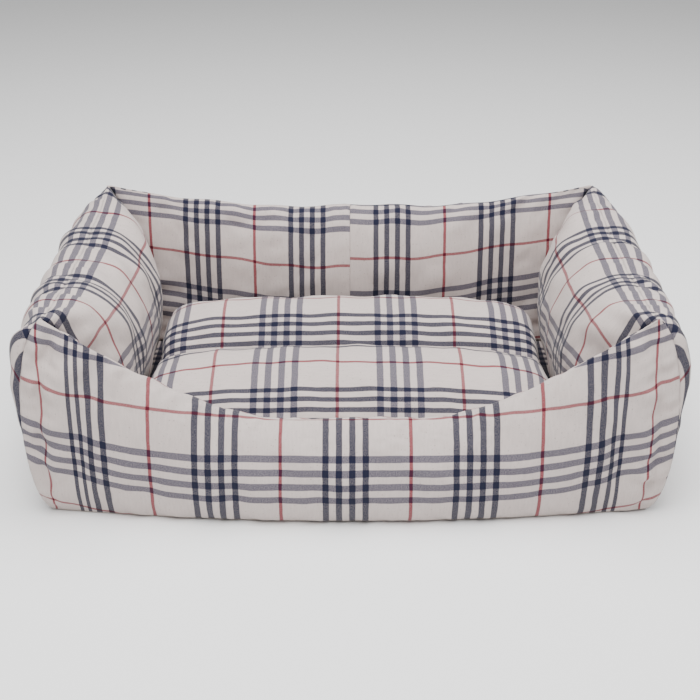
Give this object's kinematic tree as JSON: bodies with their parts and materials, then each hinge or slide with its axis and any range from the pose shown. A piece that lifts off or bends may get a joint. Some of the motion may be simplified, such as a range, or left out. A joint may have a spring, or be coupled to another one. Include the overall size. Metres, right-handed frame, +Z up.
{
  "type": "pet cushion bed",
  "caption": "Rectangular pet bed with stuffed walls, a low front entrance and a loose zipped cushion of two puffs.",
  "frame": {"origin": "on the floor, under the middle of the bed's bounding box", "axes": "+Z up, the low entrance wall faces -Y, +X runs along the long side to the right as seen from the entrance"},
  "size_m": [0.7636, 0.5294, 0.2539],
  "materials": {
    "checked_cotton": "matte",
    "base_cloth": "matte",
    "polyester_filling": "matte",
    "zip_tape": "matte",
    "zip_nylon": "satin",
    "zip_metal": "satin"
  },
  "bodies": {
    "bed": {"base_panel": "base_cloth", "base_pad": "polyester_filling", "floor_panel": "checked_cotton", "front_wall_filling": "polyester_filling", "right_wall_filling": "polyester_filling", "back_wall_filling": "polyester_filling", "left_wall_filling": "polyester_filling", "outer_front_panel": "checked_cotton", "outer_right_panel": "checked_cotton", "outer_back_panel": "checked_cotton", "outer_left_panel": "checked_cotton", "inner_front_panel": "checked_cotton", "inner_right_panel": "checked_cotton", "inner_left_panel": "checked_cotton", "inner_back_panel_right": "checked_cotton", "inner_back_panel_left": "checked_cotton"},
    "cushion": {"cushion_top_panel": "checked_cotton", "cushion_bottom_panel": "checked_cotton", "cushion_front_filling": "polyester_filling", "cushion_back_filling": "polyester_filling", "zip_upper_tape": "zip_tape", "zip_lower_tape": "zip_tape", "zip_upper_teeth": "zip_nylon", "zip_lower_teeth": "zip_nylon", "zip_end_stops": "zip_nylon"},
    "zip_slider": {"zip_slider": "zip_metal"},
    "zip_pull": {"zip_pull": "zip_metal"}
  },
  "joints": [
    {"name": "cushion_lift", "type": "slide", "parent": "bed", "child": "cushion", "axis": [0, 0, 1], "range_m": [0, 0.3]},
    {"name": "zip_travel", "type": "slide", "parent": "cushion", "child": "zip_slider", "axis": [-1, 0, 0], "range_m": [0, 0.341]},
    {"name": "zip_pull_swing", "type": "hinge", "parent": "zip_slider", "child": "zip_pull", "pos_m": [0.1705, 0.16373, 0.0423], "axis": [0, 0, -1], "range_deg": [0, 180]}
  ]
}
